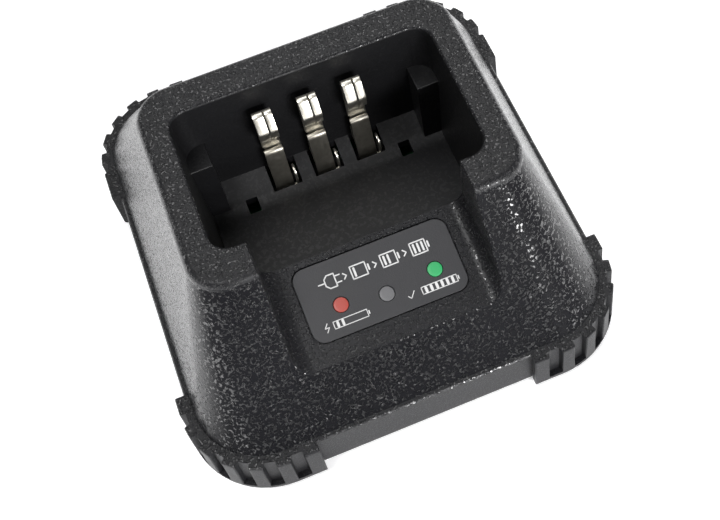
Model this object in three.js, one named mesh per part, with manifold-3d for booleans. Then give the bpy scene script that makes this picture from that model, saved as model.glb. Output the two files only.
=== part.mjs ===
// Drop-in charging cradle for a portable two-way radio.
// Millimetres, +Z up, the radio's front faces -Y. The origin is on the table, under the middle.
// A moulded housing with a pocket stands on a screwed base plate. Three sprung contacts rise
// through the pocket floor from a small circuit board, which also carries the status lamps
// under the label and the power inlet at the back.

import * as THREE from 'three';
import { mergeVertices } from 'three/addons/utils/BufferGeometryUtils.js';
import Module from 'manifold-3d';

const wasm = await Module();
wasm.setup();

// ---------------------------------------------------------------- driving dimensions

const GAP = 0.3;                     // clearance between pieces that touch
const FAR = 100;                     // longer than the whole cradle, for through cuts

const BASE = { halfWidth: 46, halfDepth: 50, cornerRadius: 16, seamHeight: 2.4, ledgeHeight: 11.6 };
const LEDGE_WIDTH = 1;               // flat step between the base band and the sloping walls
const RIM = { height: 44.2, halfWidth: 35.2, front: -28.3, back: 24, cornerRadius: 8.2 };
const RIM_ROUND = [[42.2, 0], [43.5, 0.5], [44.2, 1.6]];   // height, then inset: the rounded edge
const WALL = 2.4;

const POCKET = {                     // at the rim; the walls draw in towards the floor
  halfWidth: 28.8, front: -20, back: 15.5, cornerRadius: 4.2, floor: 14, draft: 0.0437,
};
const RAMP = { start: 8, rise: 0.613 };             // rear part of the pocket floor, rise per mm
const GUIDE_COLUMN = { inner: 23.3, front: 8.6, top: 32.3 };
const FLOOR_WALL = 2;

const SHELF = { tilt: 16, y: -39, z: 23.7, halfWidth: 22.2, cornerRadius: 3.4, reach: 10 };
const LABEL = { width: 33.4, length: 16, radius: 2.6, thickness: 0.35, middleY: -28.9, recess: 0.6 };
const WINDOW = { radius: 1.55, proud: 0.12 };
const WINDOW_PLACES = { red: [-9.2, -30.6], centre: [0.2, -31.9], green: [11.1, -30.8] };

const BUMPER = { proud: 2, bottom: 0.7, frontEnd: 23.6, sideEnd: 29, rearSideEnd: 25.5 };
const RECESS = { count: 6, width: 2.9, depth: 1.25, first: 4.7, pitch: 5.9, floor: 2.3 };

const BOARD = { halfWidth: 33, front: -43, back: 44, bottom: 6, thickness: 1.6, radius: 2 };
const BOARD_TOP = BOARD.bottom + BOARD.thickness;
const BOARD_SCREWS = [[-28, -38], [28, -38], [-28, 38], [28, 38]];
const HOUSING_SCREWS = [[-37.6, -22], [37.6, -22], [-37.6, 22], [37.6, 22]];
const FOOT_PLACES = [[-34, -39], [34, -39], [-34, 39], [34, 39]];
const FOOT = { radius: 5, height: 1.5 };
const CORNER_NAMES = ['front_left', 'front_right', 'rear_left', 'rear_right'];
const PLATE = { bottom: 0.5, top: BASE.seamHeight - GAP };

const INLET = { halfWidth: 4.6, front: 35, back: 45, bottom: 2.9, top: 9.9, axisHeight: 6.9 };
const INLET_NOSE = { radius: 3.6, bore: 2.75, pin: 0.9, end: 49.6 };

const CONTACTS = { left: -10, centre: 0, right: 10 };
const STRIP = 0.5;                   // thickness of the sprung and fixed contact strip
const SPRING = { y: 12.9, root: 12.6, width: 3.4, tongueWidth: 4.2, crookRadius: 1.1, crook: 38 };
const SLOT = { left: -2.9, right: 3.9, front: 8.9, back: 14.3 };
const CARRIER = { halfWidth: 16.5, front: 8.2, back: 14.7, top: 11.5 };

// ---------------------------------------------------------------- finishes

const finish = (color, roughness, metalness = 0) => ({ color, roughness, metalness });
const FINISH = {
  housing: finish(0x1b1b1d, 0.62),
  plate: finish(0x222224, 0.55),
  label: finish(0x202023, 0.42),
  redWindow: finish(0xd0443c, 0.35),
  greyWindow: finish(0x5a5a5e, 0.4),
  greenWindow: finish(0x35b060, 0.35),
  lamp: finish(0xe6e6e2, 0.25),
  nickel: finish(0xc9c6bc, 0.24, 1),
  steel: finish(0x9c9fa3, 0.35, 1),
  board: finish(0x1f5a37, 0.5),
  component: finish(0x17181a, 0.5),
  can: finish(0xb8bcc2, 0.3, 0.9),
  ferrite: finish(0x3b3b3d, 0.75),
  rubber: finish(0x141415, 0.85),
};

// ---------------------------------------------------------------- solids and outlines

function solidOf(geometry) {
  const bare = geometry.index ? geometry.toNonIndexed() : geometry.clone();
  bare.deleteAttribute('normal');
  bare.deleteAttribute('uv');
  const merged = mergeVertices(bare, 1e-4);
  return new wasm.Manifold(new wasm.Mesh({
    numProp: 3,
    vertProperties: new Float32Array(merged.attributes.position.array),
    triVerts: new Uint32Array(merged.index.array),
  }));
}

function geometryOf(solid) {
  const mesh = solid.getMesh();
  const geometry = new THREE.BufferGeometry();
  geometry.setAttribute('position', new THREE.BufferAttribute(mesh.vertProperties, 3));
  geometry.setIndex(new THREE.BufferAttribute(mesh.triVerts, 1));
  geometry.computeVertexNormals();
  return geometry;
}

const joined = (solids) => solids.reduce((sum, solid) => sum.add(solid));

function box([x0, y0, z0], [x1, y1, z1]) {
  const geometry = new THREE.BoxGeometry(x1 - x0, y1 - y0, z1 - z0);
  geometry.translate((x0 + x1) / 2, (y0 + y1) / 2, (z0 + z1) / 2);
  return solidOf(geometry);
}

function upright([x, y], radius, z0, z1, sides = 16) {
  const geometry = new THREE.CylinderGeometry(radius, radius, z1 - z0, sides);
  geometry.rotateX(Math.PI / 2);
  geometry.translate(x, y, (z0 + z1) / 2);
  return solidOf(geometry);
}

// Turns a profile of [radius, height] points, closed on the axis, about an upright axis.
function turned(profile, [x, y], sides = 16) {
  const points = profile.map(([radius, height]) => new THREE.Vector2(radius, height));
  const geometry = new THREE.LatheGeometry(points, sides);
  geometry.rotateX(Math.PI / 2);
  geometry.translate(x, y, 0);
  return solidOf(geometry);
}

function roundedRectangle(x0, y0, x1, y1, radius) {
  const shape = new THREE.Shape();
  shape.absarc(x1 - radius, y1 - radius, radius, 0, Math.PI / 2);
  shape.absarc(x0 + radius, y1 - radius, radius, Math.PI / 2, Math.PI);
  shape.absarc(x0 + radius, y0 + radius, radius, Math.PI, 1.5 * Math.PI);
  shape.absarc(x1 - radius, y0 + radius, radius, 1.5 * Math.PI, 2 * Math.PI);
  return shape;
}

function slab(shape, z0, z1, curveSegments = 8) {
  const geometry = new THREE.ExtrudeGeometry(shape, {
    depth: z1 - z0, bevelEnabled: false, curveSegments,
  });
  geometry.translate(0, 0, z0);
  return solidOf(geometry);
}

// Extrudes an outline given as [y, z] points along X, from x0 to x1.
function alongX(points, x0, x1) {
  const shape = new THREE.Shape(points.map(([y, z]) => new THREE.Vector2(y, z)));
  const geometry = new THREE.ExtrudeGeometry(shape, { depth: x1 - x0, bevelEnabled: false });
  const turn = new THREE.Matrix4().makeBasis(
    new THREE.Vector3(0, 1, 0), new THREE.Vector3(0, 0, 1), new THREE.Vector3(1, 0, 0));
  geometry.applyMatrix4(turn);
  geometry.translate(x0, 0, 0);
  return solidOf(geometry);
}

// A block with a rounded-rectangle plan that changes from one outline to another on its way up.
// An outline is { x: half width, y0, y1, radius, z }.
function tapered(lower, upper, curveSegments) {
  const shape = roundedRectangle(-lower.x, lower.y0, lower.x, lower.y1, lower.radius);
  const geometry = new THREE.ExtrudeGeometry(shape, {
    depth: upper.z - lower.z, bevelEnabled: false, curveSegments,
  });
  geometry.translate(0, 0, lower.z);
  const middleY = (lower.y0 + lower.y1) / 2;
  const corner = (outline, right, rear) => [
    (right ? 1 : -1) * (outline.x - outline.radius),
    rear ? outline.y1 - outline.radius : outline.y0 + outline.radius];
  const place = geometry.attributes.position;
  const halfway = (lower.z + upper.z) / 2;
  for (let i = 0; i < place.count; i += 1) {
    if (place.getZ(i) < halfway) continue;
    const right = place.getX(i) > 0;
    const rear = place.getY(i) > middleY;
    const [fromX, fromY] = corner(lower, right, rear);
    const [toX, toY] = corner(upper, right, rear);
    const scale = upper.radius / lower.radius;
    place.setX(i, toX + (place.getX(i) - fromX) * scale);
    place.setY(i, toY + (place.getY(i) - fromY) * scale);
  }
  return solidOf(geometry);
}

const inset = (outline, by, z = outline.z) => ({
  x: outline.x - by, y0: outline.y0 + by, y1: outline.y1 - by, radius: outline.radius - by, z,
});

const cradle = new THREE.Group();

function addPiece(name, solid, look) {
  const mesh = new THREE.Mesh(geometryOf(solid), new THREE.MeshStandardMaterial(look));
  mesh.name = name;
  cradle.add(mesh);
}

// ---------------------------------------------------------------- shared surfaces

const BAND = {
  x: BASE.halfWidth, y0: -BASE.halfDepth, y1: BASE.halfDepth, radius: BASE.cornerRadius,
};
const SLOPE_FOOT = inset(BAND, LEDGE_WIDTH, BASE.ledgeHeight);
const SLOPE_TOP = {
  x: RIM.halfWidth, y0: RIM.front, y1: RIM.back, radius: RIM.cornerRadius, z: RIM_ROUND[0][0],
};
const OUTLINE_SEGMENTS = 8;
const SUNK = 0.5;                    // how far one block reaches into the block below it

const bandSlab = (by, z0, z1) => slab(
  roundedRectangle(-BAND.x + by, BAND.y0 + by, BAND.x - by, BAND.y1 - by, BAND.radius - by),
  z0, z1, OUTLINE_SEGMENTS);

// The label shelf leans towards the user. A point of the shelf is given by x and y, and its
// height above the shelf's surface is measured square to it.
const SHELF_SLOPE = Math.tan(THREE.MathUtils.degToRad(SHELF.tilt));
const shelfHeight = (y) => SHELF.z + (y - SHELF.y) * SHELF_SLOPE;

function onShelf(geometry, [x, y], lift) {
  geometry.translate(0, 0, lift);
  geometry.rotateX(THREE.MathUtils.degToRad(SHELF.tilt));
  geometry.translate(x, y, shelfHeight(y));
  return solidOf(geometry);
}

function shelfDisc(radius, place, from, to, sides = 16) {
  const geometry = new THREE.CylinderGeometry(radius, radius, to - from, sides);
  geometry.rotateX(Math.PI / 2);
  return onShelf(geometry, place, (from + to) / 2);
}

const LABEL_LIFT = GAP - LABEL.recess;

function labelBlock(grow, lift, thickness) {
  const halfWidth = LABEL.width / 2 + grow;
  const halfLength = LABEL.length / 2 + grow;
  const shape = roundedRectangle(-halfWidth, -halfLength, halfWidth, halfLength, LABEL.radius + grow);
  const geometry = new THREE.ExtrudeGeometry(shape, {
    depth: thickness, bevelEnabled: false, curveSegments: 5,
  });
  return onShelf(geometry, [0, LABEL.middleY], lift);
}

// ---------------------------------------------------------------- upper housing

function slopingBody(by, topCut = 0, sunk = SUNK) {
  const foot = inset(SLOPE_FOOT, by, SLOPE_FOOT.z - sunk);
  const top = inset(SLOPE_TOP, by, SLOPE_TOP.z - topCut);
  return tapered(foot, top, OUTLINE_SEGMENTS);
}

function rimEdge() {
  const layers = [];
  for (let i = 1; i < RIM_ROUND.length; i += 1) {
    const [lowerZ, lowerInset] = RIM_ROUND[i - 1];
    const [upperZ, upperInset] = RIM_ROUND[i];
    layers.push(tapered(inset(SLOPE_TOP, lowerInset, lowerZ),
      inset(SLOPE_TOP, upperInset, upperZ), OUTLINE_SEGMENTS));
  }
  return joined(layers);
}

// Points and directions along one bumper, from its front or rear end round to its side end.
function bumperStation(distance, sideX, sideY) {
  const straight = BASE.halfWidth - BASE.cornerRadius - BUMPER.frontEnd;
  const radius = BASE.cornerRadius + BUMPER.proud;
  const arc = radius * Math.PI / 2;
  const cornerX = BASE.halfWidth - BASE.cornerRadius;
  const cornerY = BASE.halfDepth - BASE.cornerRadius;
  let angle = 0;
  let along = distance - straight;
  if (along > arc) {
    angle = Math.PI / 2;
    along -= arc;
  } else if (along > 0) {
    angle = along / radius;
    along = 0;
  }
  const slideX = angle === 0 ? along : 0;
  const slideY = angle === Math.PI / 2 ? -along : 0;
  return {
    x: sideX * (cornerX + slideX + radius * Math.sin(angle)),
    y: sideY * (cornerY + slideY + radius * Math.cos(angle)),
    turn: Math.atan2(sideX * Math.sin(angle), sideY * Math.cos(angle)),
  };
}

function bumpers() {
  const by = -BUMPER.proud;
  const ring = bandSlab(by, BUMPER.bottom, BASE.ledgeHeight);
  const rearEnd = BUMPER.rearSideEnd;
  const openings = joined([
    box([-BUMPER.frontEnd, -FAR, -1], [BUMPER.frontEnd, FAR, FAR]),
    box([-FAR, -BUMPER.sideEnd, -1], [FAR, rearEnd, FAR]),
    bandSlab(0, -1, BASE.seamHeight - 1e-3),
  ]);
  const recesses = [];
  for (const sideX of [-1, 1]) {
    for (const sideY of [-1, 1]) {
      for (let i = 0; i < RECESS.count; i += 1) {
        const station = bumperStation(RECESS.first + i * RECESS.pitch, sideX, sideY);
        const geometry = new THREE.BoxGeometry(RECESS.width, 2 * RECESS.depth, FAR);
        geometry.rotateZ(-station.turn);
        geometry.translate(station.x, station.y, RECESS.floor + FAR / 2);
        recesses.push(solidOf(geometry));
      }
    }
  }
  return ring.subtract(openings).subtract(joined(recesses));
}

function pocket(grow, drop) {
  const mouth = {
    x: POCKET.halfWidth + grow, y0: POCKET.front - grow, y1: POCKET.back + grow,
    radius: POCKET.cornerRadius + grow, z: RIM.height,
  };
  const plan = tapered(inset(mouth, RIM.height * POCKET.draft, 0),
    inset(mouth, (RIM.height - FAR) * POCKET.draft, FAR), 6);
  const floor = POCKET.floor - drop;
  const profile = alongX([
    [-FAR, floor], [RAMP.start, floor], [FAR, floor + (FAR - RAMP.start) * RAMP.rise],
    [FAR, 3 * FAR], [-FAR, 3 * FAR]], -FAR, FAR);
  return plan.intersect(profile);
}

function guideColumns() {
  return joined([-1, 1].map((side) => {
    const inner = side * GUIDE_COLUMN.inner;
    const outer = side * FAR;
    return box([Math.min(inner, outer), GUIDE_COLUMN.front, 0],
      [Math.max(inner, outer), FAR, GUIDE_COLUMN.top]);
  }));
}

// The open front of the pocket and the shelf that carries the label, as one cut with a rounded
// lower edge on each side.
function shelfCut(grow) {
  const half = SHELF.halfWidth + grow;
  const radius = SHELF.cornerRadius + grow;
  const shape = new THREE.Shape();
  shape.moveTo(half, FAR);
  shape.lineTo(-half, FAR);
  shape.absarc(-half + radius, radius - grow, radius, Math.PI, 1.5 * Math.PI);
  shape.absarc(half - radius, radius - grow, radius, 1.5 * Math.PI, 2 * Math.PI);
  const length = 2 * BASE.halfDepth;
  const geometry = new THREE.ExtrudeGeometry(shape, {
    depth: length, bevelEnabled: false, curveSegments: 6,
  });
  const turn = new THREE.Matrix4().makeBasis(
    new THREE.Vector3(1, 0, 0), new THREE.Vector3(0, 0, 1), new THREE.Vector3(0, -1, 0));
  geometry.applyMatrix4(turn);
  geometry.rotateX(THREE.MathUtils.degToRad(SHELF.tilt));
  const backY = POCKET.front + SHELF.reach;
  geometry.translate(0, backY, shelfHeight(backY));
  return solidOf(geometry);
}

function contactSlots() {
  return Object.values(CONTACTS).map((x) => box(
    [x + SLOT.left, SLOT.front, CARRIER.top - 1], [x + SLOT.right, SLOT.back, 22]));
}

const LATCH_HOLE = { x: 18.3, halfWidth: 1.35, front: 6, back: 9.4 };
const HOUSING_BOSS = { radius: 3.3, bottom: 4.8, top: 34, hole: 1.5, holeTop: 15 };
const INLET_OPENING = INLET_NOSE.radius + GAP;

function inletBarrel(radius, y0, y1, sides = 18) {
  const geometry = new THREE.CylinderGeometry(radius, radius, y1 - y0, sides);
  geometry.translate(0, (y0 + y1) / 2, INLET.axisHeight);
  return solidOf(geometry);
}

const outside = joined([
  bandSlab(0, BASE.seamHeight, BASE.ledgeHeight), slopingBody(0), rimEdge(), bumpers()]);
const bosses = joined(HOUSING_SCREWS.map(
  (place) => upright(place, HOUSING_BOSS.radius, HOUSING_BOSS.bottom, HOUSING_BOSS.top)));
const ROOF = 1.6;
const hollow = bandSlab(WALL, 0, BASE.ledgeHeight - ROOF)
  .add(slopingBody(WALL, WALL, ROOF + SUNK))
  .subtract(pocket(FLOOR_WALL, FLOOR_WALL))
  .subtract(shelfCut(FLOOR_WALL))
  .subtract(bosses);
const housingHoles = joined([
  pocket(0, 0).subtract(guideColumns()),
  shelfCut(0),
  labelBlock(GAP, -LABEL.recess, 2),
  ...contactSlots(),
  ...[-1, 1].map((side) => box(
    [side * LATCH_HOLE.x - LATCH_HOLE.halfWidth, LATCH_HOLE.front, POCKET.floor - 6],
    [side * LATCH_HOLE.x + LATCH_HOLE.halfWidth, LATCH_HOLE.back, POCKET.floor + 6])),
  ...HOUSING_SCREWS.map((place) => upright(place, HOUSING_BOSS.hole, 0, HOUSING_BOSS.holeTop, 12)),
  ...Object.values(WINDOW_PLACES).map(
    (place) => shelfDisc(WINDOW.radius + GAP, place, -FLOOR_WALL - 2, 2)),
  inletBarrel(INLET_OPENING, BASE.halfDepth - 2 * WALL, FAR),
]);
addPiece('upper_housing', outside.subtract(hollow).subtract(housingHoles), FINISH.housing);

// ---------------------------------------------------------------- base plate and feet

const PLATE_BOSS = { radius: 3.9, top: HOUSING_BOSS.bottom - GAP, hole: 1.9 };
const HEAD_POCKET = { radius: 3.2, depth: 2.2 };
const STANDOFF = { radius: 2.8, top: BOARD.bottom - GAP, hole: 1.25, holeBottom: 1.4 };
const INNER_LIP = { inset: WALL + GAP, width: 1.2, top: 4.6 };

const lip = bandSlab(INNER_LIP.inset, PLATE.bottom, INNER_LIP.top)
  .subtract(bandSlab(INNER_LIP.inset + INNER_LIP.width, PLATE.top, FAR));
const plateBody = joined([
  bandSlab(GAP, PLATE.bottom, PLATE.top), lip,
  ...HOUSING_SCREWS.map((place) => upright(place, PLATE_BOSS.radius, PLATE.bottom, PLATE_BOSS.top)),
  ...BOARD_SCREWS.map((place) => upright(place, STANDOFF.radius, PLATE.bottom, STANDOFF.top)),
]);
const plateHoles = joined([
  ...HOUSING_SCREWS.flatMap((place) => [
    upright(place, PLATE_BOSS.hole, -1, FAR, 16),
    upright(place, HEAD_POCKET.radius, -1, PLATE.bottom + HEAD_POCKET.depth)]),
  ...BOARD_SCREWS.map((place) => upright(place, STANDOFF.hole, STANDOFF.holeBottom, FAR, 12)),
  ...FOOT_PLACES.map((place) => upright(place, FOOT.radius + GAP, -1, FOOT.height - 0.2, 18)),
  box([-INLET.halfWidth - GAP, INLET.front, INLET.bottom - 2 * GAP], [INLET.halfWidth + GAP, FAR, FAR]),
]);
addPiece('base_plate', plateBody.subtract(plateHoles), FINISH.plate);

FOOT_PLACES.forEach((place, i) => {
  const edge = 0.5;
  const top = FOOT.height - 0.2 - GAP;
  addPiece(`rubber_foot_${CORNER_NAMES[i]}`, turned([
    [0, 0], [FOOT.radius - edge, 0], [FOOT.radius, edge], [FOOT.radius, top], [0, top],
  ], place, 18), FINISH.rubber);
});

// A pan-head screw that points up: head below, threaded shank above.
function screwUp(place, bottom, head, shank, length) {
  return turned([
    [0, bottom], [head * 0.7, bottom], [head, bottom + 0.5], [head, bottom + 1.5],
    [shank, bottom + 1.5], [shank, bottom + length - 0.6], [shank * 0.5, bottom + length],
    [0, bottom + length],
  ], place, 12);
}

function crossSlot([x, y], z0, z1, reach, width) {
  return joined([
    box([x - reach, y - width / 2, z0], [x + reach, y + width / 2, z1]),
    box([x - width / 2, y - reach, z0], [x + width / 2, y + reach, z1]),
  ]);
}

HOUSING_SCREWS.forEach((place, i) => {
  const bottom = PLATE.bottom + 0.4;
  const screw = screwUp(place, bottom, 2.8, 1.2, 12)
    .subtract(crossSlot(place, bottom - 1, bottom + 0.8, 1.5, 0.6));
  addPiece(`housing_screw_${CORNER_NAMES[i]}`, screw, FINISH.steel);
});

BOARD_SCREWS.forEach((place, i) => {
  const top = BOARD_TOP + GAP + 1.5;
  const screw = turned([
    [0, 1.8], [0.5, 1.8], [0.95, 2.4], [0.95, top - 1.5], [2.2, top - 1.5], [2.2, top - 0.5],
    [1.5, top], [0, top],
  ], place, 10).subtract(crossSlot(place, top - 0.8, top + 1, 1.2, 0.5));
  addPiece(`board_screw_${CORNER_NAMES[i]}`, screw, FINISH.steel);
});

// ---------------------------------------------------------------- label, windows and lamps

const labelSheet = labelBlock(0, LABEL_LIFT, LABEL.thickness);
const windowHoles = joined(Object.values(WINDOW_PLACES).map(
  (place) => shelfDisc(WINDOW.radius + GAP / 2, place, -1, 2)));
addPiece('label_overlay', labelSheet.subtract(windowHoles), FINISH.label);

const LAMP = { radius: 1.5, flange: 1.9, height: 5, top: -3.2 };
const WINDOW_LOOKS = { red: 'redWindow', centre: 'greyWindow', green: 'greenWindow' };
for (const [side, place] of Object.entries(WINDOW_PLACES)) {
  const top = LABEL_LIFT + LABEL.thickness + WINDOW.proud;
  const pipe = shelfDisc(WINDOW.radius, place, -FLOOR_WALL - 0.6, top);
  addPiece(`led_window_${side}`, pipe, FINISH[WINDOW_LOOKS[side]]);

  const [x, y] = place;
  const lampTop = shelfHeight(y) + LAMP.top;
  const bottom = lampTop - LAMP.height;
  const dome = [];
  for (let i = 0; i <= 3; i += 1) {
    const angle = i / 3 * Math.PI / 2;
    dome.push([i === 3 ? 0 : LAMP.radius * Math.cos(angle), lampTop - LAMP.radius * (1 - Math.sin(angle))]);
  }
  const lens = turned([
    [0, bottom], [LAMP.flange, bottom], [LAMP.flange, bottom + 0.9], [LAMP.radius, bottom + 0.9],
    ...dome], [x, y], 12);
  const legs = [-0.8, 0.8].map((offset) => box(
    [x + offset - 0.25, y - 0.25, BOARD_TOP + GAP], [x + offset + 0.25, y + 0.25, bottom + 0.5]));
  addPiece(`status_lamp_${side}`, joined([lens, ...legs]), FINISH.lamp);
}

// ---------------------------------------------------------------- circuit board and its parts

const boardSheet = slab(roundedRectangle(-BOARD.halfWidth, BOARD.front, BOARD.halfWidth, BOARD.back,
  BOARD.radius), BOARD.bottom, BOARD_TOP, 3);
const boardHoles = joined([
  ...BOARD_SCREWS.map((place) => upright(place, 1.4, 0, FAR, 12)),
  box([-INLET.halfWidth - 2 * GAP, INLET.front - 2 * GAP, 0], [INLET.halfWidth + 2 * GAP, FAR, FAR]),
]);
addPiece('circuit_board', boardSheet.subtract(boardHoles), FINISH.board);

const onBoard = BOARD_TOP + GAP;
const PLACES = {                     // where each part sits on the board
  controller: [16, -8], driver: [-4, -22], inputCapacitor: [-16, 29], outputCapacitor: [15, 26],
  inductor: [21, 33], transistor: [-23, 20.1], diode: [-8, 30], sense: [4, -12], lamp: [8, -23],
};
const CHIP = { halfX: 2.6, halfY: 2, lift: 0.15, height: 1.7 };
const CHIP_LEG = { count: 4, pitch: 1.27, halfWidth: 0.2, reach: 1.1, height: 0.4 };

function chip([x, y]) {
  const { halfX, halfY } = CHIP;
  const legs = [];
  for (let i = 0; i < CHIP_LEG.count; i += 1) {
    const legX = x + (i - (CHIP_LEG.count - 1) / 2) * CHIP_LEG.pitch;
    const legY = halfY + CHIP_LEG.reach;
    legs.push(box([legX - CHIP_LEG.halfWidth, y - legY, onBoard],
      [legX + CHIP_LEG.halfWidth, y + legY, onBoard + CHIP_LEG.height]));
  }
  const body = box([x - halfX, y - halfY, onBoard + CHIP.lift],
    [x + halfX, y + halfY, onBoard + CHIP.height]);
  return joined([body, ...legs]);
}

addPiece('charge_controller', chip(PLACES.controller), FINISH.component);
addPiece('lamp_driver', chip(PLACES.driver), FINISH.component);

// An upright can with a rolled groove above its foot and a rounded top edge.
function capacitor(place, radius, height) {
  const z = onBoard;
  const groove = 0.35;
  const edge = 0.4;
  return turned([
    [0, z], [radius, z], [radius, z + 1], [radius - groove, z + 1.4], [radius, z + 1.8],
    [radius, z + height - edge], [radius - edge, z + height], [0, z + height],
  ], place);
}

addPiece('input_capacitor', capacitor(PLACES.inputCapacitor, 4, 11), FINISH.can);
addPiece('output_capacitor', capacitor(PLACES.outputCapacitor, 3.2, 9), FINISH.can);

// A wound ferrite bobbin: a square foot, a waist of wire and a round flange on top.
const BOBBIN = { foot: 3.8, footTop: 0.9, waist: 2.6, flange: 3.6, flangeBottom: 3.4, top: 4.4 };

function wound([x, y]) {
  const { foot, waist, flange } = BOBBIN;
  return joined([
    box([x - foot, y - foot, onBoard], [x + foot, y + foot, onBoard + BOBBIN.footTop]),
    upright([x, y], waist, onBoard + BOBBIN.footTop - 0.4, onBoard + BOBBIN.top - 0.2),
    upright([x, y], flange, onBoard + BOBBIN.flangeBottom, onBoard + BOBBIN.top),
  ]);
}

addPiece('inductor', wound(PLACES.inductor), FINISH.ferrite);

// A flat power transistor: a moulded body, a cooling tab behind it and two leads in front.
const TRANSISTOR = {
  halfX: 3.3, halfY: 3.1, height: 2.3, tabHalf: 2.6, tabReach: 4.5, tabHeight: 0.7,
  leadReach: 5.7, leadWidth: 0.8, leadHeight: 0.9, lift: 0.1,
};

function flatTransistor([x, y]) {
  const { halfX, halfY, tabHalf, leadWidth, leadReach } = TRANSISTOR;
  const low = onBoard + TRANSISTOR.lift;
  const lead = (x0) => box([x0, y - leadReach, onBoard],
    [x0 + leadWidth, y - halfY + 0.4, onBoard + TRANSISTOR.leadHeight]);
  return joined([
    box([x - halfX, y - halfY, low], [x + halfX, y + halfY, onBoard + TRANSISTOR.height]),
    box([x - tabHalf, y + halfY - 0.2, low],
      [x + tabHalf, y + TRANSISTOR.tabReach, onBoard + TRANSISTOR.tabHeight]),
    lead(x - tabHalf), lead(x + tabHalf - leadWidth),
  ]);
}

addPiece('power_transistor', flatTransistor(PLACES.transistor), FINISH.component);

// A small two-ended part, its body and end caps as one block.
function endCapped([x, y], halfX, halfY, height) {
  return joined([
    box([x - halfX, y - halfY, onBoard + 0.1], [x + halfX, y + halfY, onBoard + height]),
    box([x - halfX - 0.5, y - halfY * 0.7, onBoard], [x + halfX + 0.5, y + halfY * 0.7, onBoard + height * 0.5]),
  ]);
}

addPiece('rectifier_diode', endCapped(PLACES.diode, 2.2, 1.4, 2), FINISH.component);
addPiece('sense_resistor', endCapped(PLACES.sense, 1.7, 1.3, 0.8), FINISH.component);
addPiece('lamp_resistor', endCapped(PLACES.lamp, 1.1, 0.8, 0.7), FINISH.component);

// ---------------------------------------------------------------- power inlet

const inletBody = joined([
  box([-INLET.halfWidth, INLET.front, INLET.bottom], [INLET.halfWidth, INLET.back, INLET.top]),
  inletBarrel(INLET_NOSE.radius, INLET.back - 1, INLET_NOSE.end),
]);
const inletBore = inletBarrel(INLET_NOSE.bore, INLET.front + 2.5, FAR);
const inletPin = inletBarrel(INLET_NOSE.pin, INLET.front + 1, INLET_NOSE.end - 0.8, 10);
addPiece('power_inlet', inletBody.subtract(inletBore).add(inletPin), FINISH.component);

// ---------------------------------------------------------------- contacts

const TAIL_Y = 10.3;                 // front face of each contact's tail
const BRACKET_HALF = 2.1;            // half the width of the fixed leaf
const TAIL_SLOT = 0.4;               // room round each tail in the carrier
const carrierBody = box([-CARRIER.halfWidth, CARRIER.front, onBoard],
  [CARRIER.halfWidth, CARRIER.back, CARRIER.top]);
const carrierHoles = joined(Object.values(CONTACTS).map((x) => box(
  [x - BRACKET_HALF - TAIL_SLOT, TAIL_Y - TAIL_SLOT, 0],
  [x + BRACKET_HALF + TAIL_SLOT, TAIL_Y + STRIP + TAIL_SLOT, FAR])));
addPiece('contact_carrier', carrierBody.subtract(carrierHoles), FINISH.component);

// Thickens a bent centre line of [y, z] points into a closed outline of strip thickness.
function stripOutline(line) {
  const offset = (side) => line.map(([y, z], i) => {
    const [beforeY, beforeZ] = line[Math.max(i - 1, 0)];
    const [afterY, afterZ] = line[Math.min(i + 1, line.length - 1)];
    const length = Math.hypot(afterY - beforeY, afterZ - beforeZ);
    const reach = side * STRIP / 2 / length;
    return [y - (afterZ - beforeZ) * reach, z + (afterY - beforeY) * reach];
  });
  return [...offset(1), ...offset(-1).reverse()];
}

// The fixed half of a contact: a tail through the carrier, a leaf that leans back and ends in
// a small fold, two side wings, and an upright ear beside the slot.
function contactBracket(x) {
  const half = BRACKET_HALF;
  const y = TAIL_Y + STRIP / 2;
  const leaf = alongX(stripOutline([
    [y, BOARD_TOP + GAP], [y, 15], [y + 0.9, 25.2], [y + 1.1, 25.6], [y + 1.8, 25.7]]), x - half, x + half);
  const wing = [[y + 0.1, 17], [y + 3.1, 18.2], [y + 3.1, 21.5], [y + 2.2, 22.4], [y + 2.2, 23.6],
    [y + 1.2, 24.4], [y + 0.7, 24.2]];
  const ear = [];
  for (let i = 0; i <= 8; i += 1) {
    const angle = i / 8 * Math.PI;
    ear.push([y + 0.5 + 1.7 * Math.cos(angle), 16.6 + 1.9 * Math.sin(angle)]);
  }
  const foot = CARRIER.top + GAP;
  ear.push([y - 0.9, foot], [y + 1.7, foot]);
  return joined([
    leaf,
    alongX(wing, x - half, x - half + 0.35),
    alongX(wing, x + half - 0.35, x + half),
    alongX(ear, x + half + 0.6, x + half + 1.1),
    box([x, y - STRIP / 2, foot], [x + half + 1.1, y + STRIP / 2, foot + 1]),
  ]);
}

// The sprung half: a leaf that rises behind the bracket, turns over in a crook, leans out as a
// sloping tongue split into two fingers, and tucks its tip back under.
function contactSpring(x) {
  const line = [[SPRING.y, SPRING.root], [SPRING.y, 24.6], [SPRING.y, SPRING.crook]];
  const centreY = SPRING.y - SPRING.crookRadius;
  const bend = 7;
  for (let i = 1; i <= bend; i += 1) {
    const angle = i / bend * THREE.MathUtils.degToRad(150);
    line.push([centreY + SPRING.crookRadius * Math.cos(angle),
      SPRING.crook + SPRING.crookRadius * Math.sin(angle)]);
  }
  line.push([9.3, 35.9], [9.12, 35.3], [9.2, 34.7], [9.6, 33.4], [10.2, 31.9]);
  const outline = stripOutline(line);
  const narrow = SPRING.width / 2;
  const wide = SPRING.tongueWidth / 2;
  const shoulder = 26.6;
  const lower = alongX(outline, x - narrow, x + narrow);
  const upper = alongX(outline, x - wide, x + wide).intersect(
    box([x - FAR, 0, shoulder], [x + FAR, FAR, FAR]));
  const slit = box([x + 0.15, 0, 30], [x + 0.55, SPRING.y - SPRING.crookRadius + 0.3, FAR]);
  return lower.add(upper).subtract(slit);
}

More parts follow.
